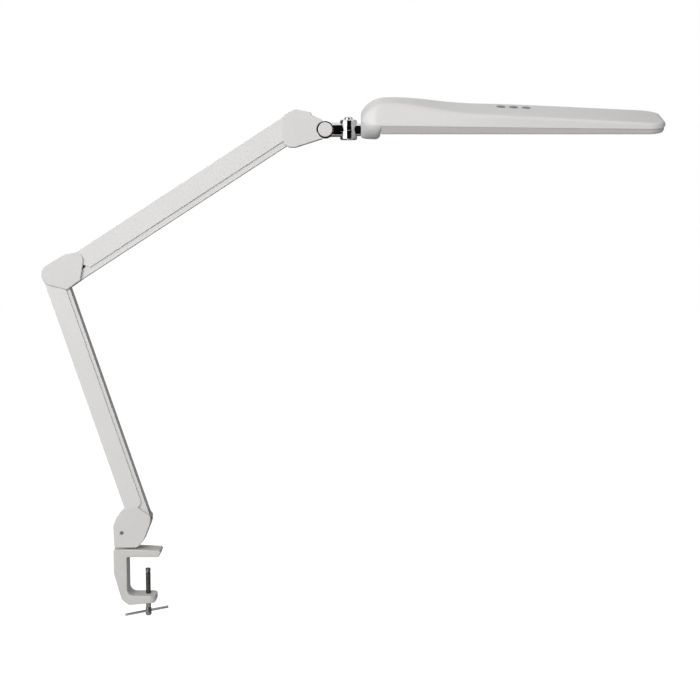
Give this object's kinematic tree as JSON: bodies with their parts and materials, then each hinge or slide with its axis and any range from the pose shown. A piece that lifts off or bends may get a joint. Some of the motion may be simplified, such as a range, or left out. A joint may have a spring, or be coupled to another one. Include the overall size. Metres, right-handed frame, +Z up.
{
  "type": "clamp lamp",
  "caption": "Desk lamp on a screw clamp, with two parallelogram arms, a tilt, swivel and roll joint, and a long flat head with a diffuser and push buttons.",
  "frame": {"origin": "on the underside of the clamp's upper jaw, where it rests on the desk, in the middle plane", "axes": "+Z up, out of the desk; +X from the clamp's spine to the jaw's nose and on to the lamp head; +Y across the jaw, away from the side shown in the picture"},
  "size_m": [0.9676, 0.0858, 0.8254],
  "materials": {
    "silver_paint": "satin silver-grey powder paint on metal",
    "silver_shell": "moulded plastic in satin silver-grey",
    "head_plastic": "moulded plastic in satin silver-grey, fine grain",
    "rim_plastic": "moulded plastic, a warmer darker silver-grey",
    "frosted_sheet": "opal white light diffuser",
    "button_plastic": "moulded push buttons in silver-grey",
    "chrome_plate": "polished chrome plate",
    "bright_steel": "turned bright steel",
    "spring_wire": "drawn spring wire",
    "black_screw": "black oxide screws",
    "bearing_plastic": "natural nylon bearing parts",
    "cast_core": "die-cast metal, as cast",
    "sheet_aluminium": "plain sheet metal",
    "white_board": "white light boards",
    "driver_case": "white moulded driver case",
    "green_board": "green circuit board with switches"
  },
  "bodies": {
    "clamp": {"clamp_frame": "silver_paint", "socket_bush": "bearing_plastic"},
    "spindle_end": {"spindle_tip": "bright_steel"},
    "screw": {"spindle": "bright_steel"},
    "handle": {"tommy_bar": "bright_steel"},
    "base": {"swivel_pin": "bright_steel", "base_core": "cast_core", "base_shell_front": "silver_shell", "base_shell_back": "silver_shell", "base_screws": "black_screw", "base_pivot_pins": "bright_steel"},
    "lower_arm": {"lower_arm_cover": "silver_paint", "lower_spring_pin": "silver_paint", "lower_arm_springs": "spring_wire"},
    "lower_bar": {"lower_arm_bar": "silver_paint"},
    "elbow": {"elbow_core": "cast_core", "elbow_shell_front": "silver_shell", "elbow_shell_back": "silver_shell", "elbow_screw": "black_screw", "elbow_pivot_pins": "bright_steel"},
    "upper_arm": {"upper_arm_cover": "silver_paint", "upper_spring_pin": "silver_paint", "upper_arm_springs": "spring_wire"},
    "upper_bar": {"upper_arm_bar": "silver_paint"},
    "bracket": {"bracket_core": "cast_core", "bracket_shell_front": "silver_shell", "bracket_shell_back": "silver_shell", "bracket_screw": "black_screw", "bracket_pivot_pins": "bright_steel", "tilt_washers": "bearing_plastic"},
    "knuckle": {"tilt_knuckle": "chrome_plate", "tilt_bolt": "bright_steel", "tilt_caps": "silver_shell", "drum_screw": "chrome_plate", "drum_nut": "bright_steel", "drum_washer": "bearing_plastic"},
    "swivel": {"swivel_link": "chrome_plate", "roll_nut": "bright_steel"},
    "head": {"head_housing": "head_plastic", "head_rim": "rim_plastic", "diffuser": "frosted_sheet", "heat_sink": "sheet_aluminium", "led_strip_front": "white_board", "led_strip_back": "white_board", "led_driver": "driver_case", "switch_board": "green_board"},
    "power": {"power_button": "button_plastic"},
    "brighter": {"brighter_button": "button_plastic"},
    "dimmer": {"dimmer_button": "button_plastic"}
  },
  "joints": [
    {"name": "spindle_feed", "type": "slide", "parent": "clamp", "child": "spindle_end", "axis": [0, 0, 1], "range_m": [-0.038, 0.008]},
    {"name": "spindle_turn", "type": "hinge", "parent": "spindle_end", "child": "screw", "pos_m": [0.0095, 0, -0.06], "axis": [0, 0, 1], "range_deg": [-10945.5, 2305.5]},
    {"name": "tommy_slide", "type": "slide", "parent": "screw", "child": "handle", "axis": [0.7986, 0.6018, 0], "range_m": [-0.028, 0.028]},
    {"name": "base_swivel", "type": "hinge", "parent": "clamp", "child": "base", "pos_m": [-0.031, 0, 0.014], "axis": [0, 0, 1], "continuous": true},
    {"name": "lower_arm", "type": "hinge", "parent": "base", "child": "lower_arm", "pos_m": [-0.003, 0, 0.058], "axis": [0, 1, 0], "range_deg": [-17, 65], "deforming": ["lower_arm_springs"]},
    {"name": "lower_bar", "type": "hinge", "parent": "base", "child": "lower_bar", "pos_m": [0.011, 0, 0.058], "axis": [0, 1, 0], "range_deg": [-17, 65]},
    {"name": "elbow", "type": "hinge", "parent": "lower_arm", "child": "elbow", "pos_m": [-0.13242, 0, 0.44704], "axis": [0, 1, 0], "range_deg": [-65, 17]},
    {"name": "upper_arm", "type": "hinge", "parent": "elbow", "child": "upper_arm", "pos_m": [-0.09802, 0, 0.46314], "axis": [0, 1, 0], "range_deg": [-28, 52], "deforming": ["upper_arm_springs"]},
    {"name": "upper_bar", "type": "hinge", "parent": "elbow", "child": "upper_bar", "pos_m": [-0.09802, 0, 0.44184], "axis": [0, 1, 0], "range_deg": [-28, 52]},
    {"name": "bracket", "type": "hinge", "parent": "upper_arm", "child": "bracket", "pos_m": [0.24662, 0, 0.68524], "axis": [0, 1, 0], "range_deg": [-52, 28]},
    {"name": "head_tilt", "type": "hinge", "parent": "bracket", "child": "knuckle", "pos_m": [0.29532, 0, 0.67394], "axis": [0, 1, 0], "range_deg": [-50, 50]},
    {"name": "head_swivel", "type": "hinge", "parent": "knuckle", "child": "swivel", "pos_m": [0.33132, 0, 0.67394], "axis": [0, 0, 1], "range_deg": [-75, 75]},
    {"name": "head_roll", "type": "hinge", "parent": "swivel", "child": "head", "pos_m": [0.35062, 0, 0.67394], "axis": [1, 0, 0], "range_deg": [-60, 30]},
    {"name": "power_press", "type": "slide", "parent": "head", "child": "power", "axis": [0, -0.2924, 0.9563], "range_m": [-0.0012, 0], "stiffness_N_per_m": 800, "springref_m": 0.0012},
    {"name": "brighter_press", "type": "slide", "parent": "head", "child": "brighter", "axis": [0, -0.2924, 0.9563], "range_m": [-0.0012, 0], "stiffness_N_per_m": 800, "springref_m": 0.0012},
    {"name": "dimmer_press", "type": "slide", "parent": "head", "child": "dimmer", "axis": [0, -0.2924, 0.9563], "range_m": [-0.0012, 0], "stiffness_N_per_m": 800, "springref_m": 0.0012}
  ],
  "couplings": [
    {"joint": "spindle_turn", "follows": "spindle_feed", "rad_per_m": 5026.5},
    {"joint": "lower_bar", "follows": "lower_arm", "ratio": 1},
    {"joint": "elbow", "follows": "lower_arm", "ratio": -1},
    {"joint": "upper_bar", "follows": "upper_arm", "ratio": 1},
    {"joint": "bracket", "follows": "upper_arm", "ratio": -1}
  ]
}
